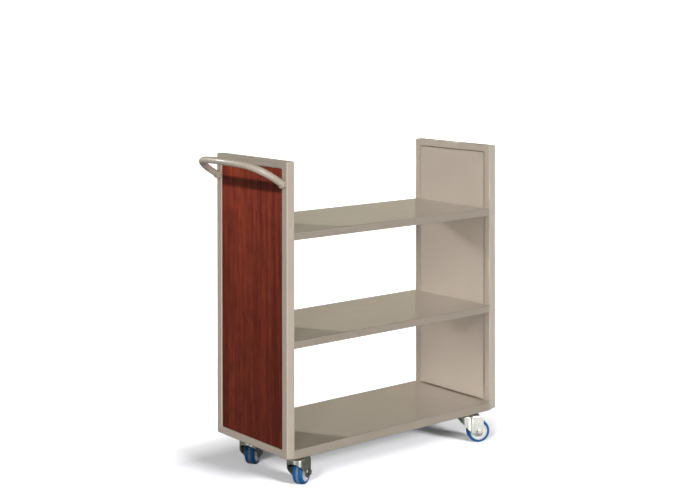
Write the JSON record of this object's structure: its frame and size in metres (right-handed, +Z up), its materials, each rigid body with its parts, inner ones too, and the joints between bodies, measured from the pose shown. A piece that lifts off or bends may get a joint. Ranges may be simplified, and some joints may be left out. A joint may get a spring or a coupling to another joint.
{
  "type": "shelf cart",
  "caption": "Steel shelf cart with wood-veneered ends, a bow push handle on one end and swivel castors underneath.",
  "frame": {"origin": "on the floor, at the middle of the whole object's footprint, handle included", "axes": "+X along the cart towards the end without the handle, +Y to the back, +Z up"},
  "size_m": [1.0009, 0.374, 1.0143],
  "materials": {
    "painted_steel": "warm grey-beige powder coat, semi-gloss",
    "wood_veneer": "dark red-brown veneer, vertical grain, satin lacquer",
    "zinc_plate": "bright zinc plated pressed steel",
    "white_hub": "white moulded plastic",
    "blue_tyre": "blue elastic tread, grey band round the middle",
    "nylon_bush": "plain nylon"
  },
  "bodies": {
    "cart_frame": {"left_end_frame": "painted_steel", "left_inner_panel": "painted_steel", "left_veneer_panel": "wood_veneer", "right_end_frame": "painted_steel", "right_inner_panel": "painted_steel", "right_veneer_panel": "wood_veneer", "top_shelf": "painted_steel", "middle_shelf": "painted_steel", "bottom_shelf": "painted_steel", "push_handle": "painted_steel", "left_castor_rail": "painted_steel", "right_castor_rail": "painted_steel", "front_left_castor_plate": "zinc_plate", "front_left_kingpin": "zinc_plate", "front_left_plate_bolt_1": "zinc_plate", "front_left_plate_bolt_2": "zinc_plate", "front_left_plate_bolt_3": "zinc_plate", "front_left_plate_bolt_4": "zinc_plate", "front_right_castor_plate": "zinc_plate", "front_right_kingpin": "zinc_plate", "front_right_plate_bolt_1": "zinc_plate", "front_right_plate_bolt_2": "zinc_plate", "front_right_plate_bolt_3": "zinc_plate", "front_right_plate_bolt_4": "zinc_plate", "rear_left_castor_plate": "zinc_plate", "rear_left_kingpin": "zinc_plate", "rear_left_plate_bolt_1": "zinc_plate", "rear_left_plate_bolt_2": "zinc_plate", "rear_left_plate_bolt_3": "zinc_plate", "rear_left_plate_bolt_4": "zinc_plate", "rear_right_castor_plate": "zinc_plate", "rear_right_kingpin": "zinc_plate", "rear_right_plate_bolt_1": "zinc_plate", "rear_right_plate_bolt_2": "zinc_plate", "rear_right_plate_bolt_3": "zinc_plate", "rear_right_plate_bolt_4": "zinc_plate"},
    "front_left_swivel": {"front_left_fork": "zinc_plate", "front_left_axle_bolt": "zinc_plate", "front_left_axle_nut": "zinc_plate", "front_left_axle_bush": "nylon_bush"},
    "front_left_wheel": {"front_left_wheel_hub": "white_hub", "front_left_tyre": "blue_tyre"},
    "front_right_swivel": {"front_right_fork": "zinc_plate", "front_right_axle_bolt": "zinc_plate", "front_right_axle_nut": "zinc_plate", "front_right_axle_bush": "nylon_bush"},
    "front_right_wheel": {"front_right_wheel_hub": "white_hub", "front_right_tyre": "blue_tyre"},
    "rear_left_swivel": {"rear_left_fork": "zinc_plate", "rear_left_axle_bolt": "zinc_plate", "rear_left_axle_nut": "zinc_plate", "rear_left_axle_bush": "nylon_bush"},
    "rear_left_wheel": {"rear_left_wheel_hub": "white_hub", "rear_left_tyre": "blue_tyre"},
    "rear_right_swivel": {"rear_right_fork": "zinc_plate", "rear_right_axle_bolt": "zinc_plate", "rear_right_axle_nut": "zinc_plate", "rear_right_axle_bush": "nylon_bush"},
    "rear_right_wheel": {"rear_right_wheel_hub": "white_hub", "rear_right_tyre": "blue_tyre"}
  },
  "joints": [
    {"name": "front_left_swivel_turn", "type": "hinge", "parent": "cart_frame", "child": "front_left_swivel", "pos_m": [-0.30647, -0.126, 0.0987], "axis": [0, 0, 1], "continuous": true},
    {"name": "front_left_wheel_spin", "type": "hinge", "parent": "front_left_swivel", "child": "front_left_wheel", "pos_m": [-0.27132, -0.10691, 0.038], "axis": [-0.4772, 0.8788, 0], "continuous": true},
    {"name": "front_right_swivel_turn", "type": "hinge", "parent": "cart_frame", "child": "front_right_swivel", "pos_m": [0.41952, -0.126, 0.0987], "axis": [0, 0, 1], "continuous": true},
    {"name": "front_right_wheel_spin", "type": "hinge", "parent": "front_right_swivel", "child": "front_right_wheel", "pos_m": [0.45399, -0.1463, 0.038], "axis": [0.5075, 0.8616, 0], "continuous": true},
    {"name": "rear_left_swivel_turn", "type": "hinge", "parent": "cart_frame", "child": "rear_left_swivel", "pos_m": [-0.30647, 0.126, 0.0987], "axis": [0, 0, 1], "continuous": true},
    {"name": "rear_left_wheel_spin", "type": "hinge", "parent": "rear_left_swivel", "child": "rear_left_wheel", "pos_m": [-0.27351, 0.14866, 0.038], "axis": [-0.5664, 0.8241, 0], "continuous": true},
    {"name": "rear_right_swivel_turn", "type": "hinge", "parent": "cart_frame", "child": "rear_right_swivel", "pos_m": [0.41952, 0.126, 0.0987], "axis": [0, 0, 1], "continuous": true},
    {"name": "rear_right_wheel_spin", "type": "hinge", "parent": "rear_right_swivel", "child": "rear_right_wheel", "pos_m": [0.45937, 0.12949, 0.038], "axis": [-0.0872, 0.9962, 0], "continuous": true}
  ]
}
